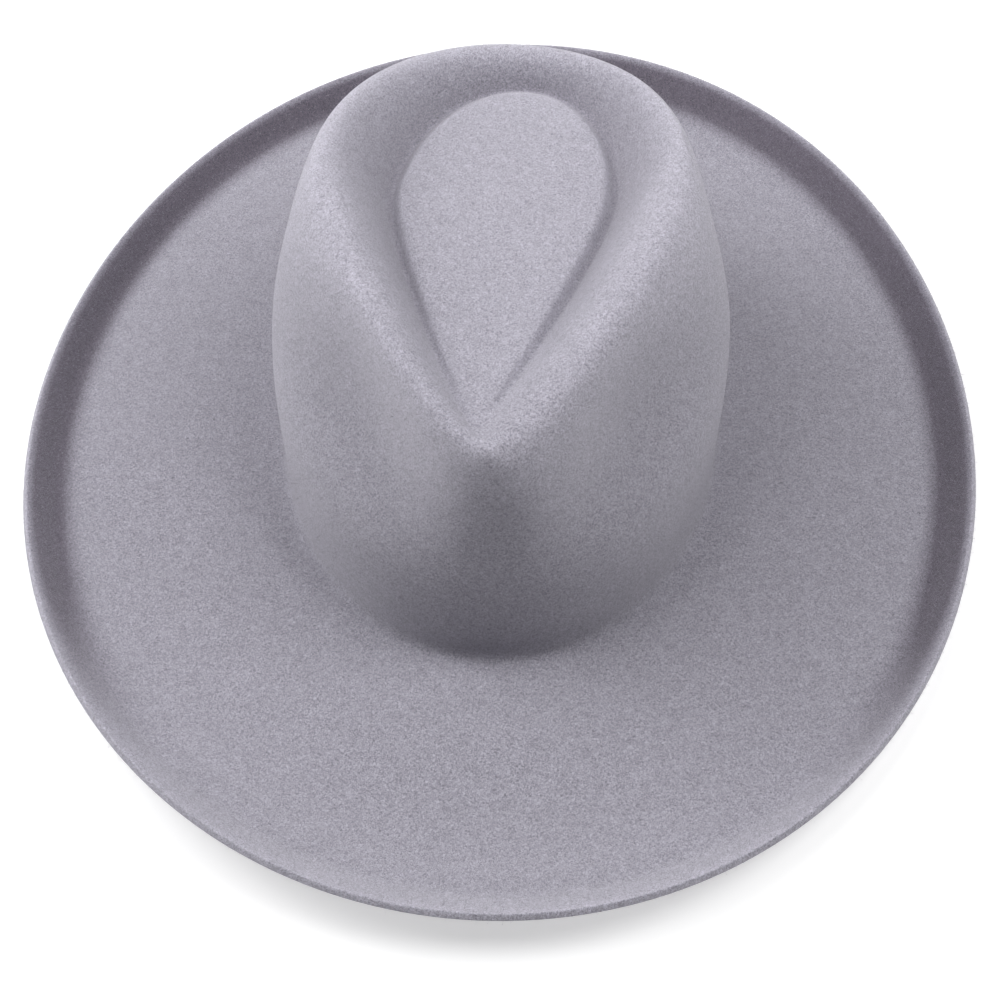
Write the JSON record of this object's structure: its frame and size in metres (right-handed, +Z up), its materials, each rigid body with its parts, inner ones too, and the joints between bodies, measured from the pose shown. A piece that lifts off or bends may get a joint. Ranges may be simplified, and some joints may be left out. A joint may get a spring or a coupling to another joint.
{
  "type": "wide-brim fedora hat",
  "caption": "Soft felt hat with a teardrop crown pinched at the front and a wide, flat oval brim whose edge is turned up all round.",
  "frame": {"origin": "middle of the overall bounding box on the surface that the brim rests on, which is the middle of the head opening", "axes": "+Z up through the crown, the hat's front (its pinch) towards -Y, its back towards +Y, +X to the wearer's left"},
  "size_m": [0.362, 0.4142, 0.1154],
  "materials": {
    "felt": "matt pale lavender-grey wool felt with a short soft nap"
  },
  "bodies": {
    "root": {"felt_body": "felt"}
  },
  "joints": []
}
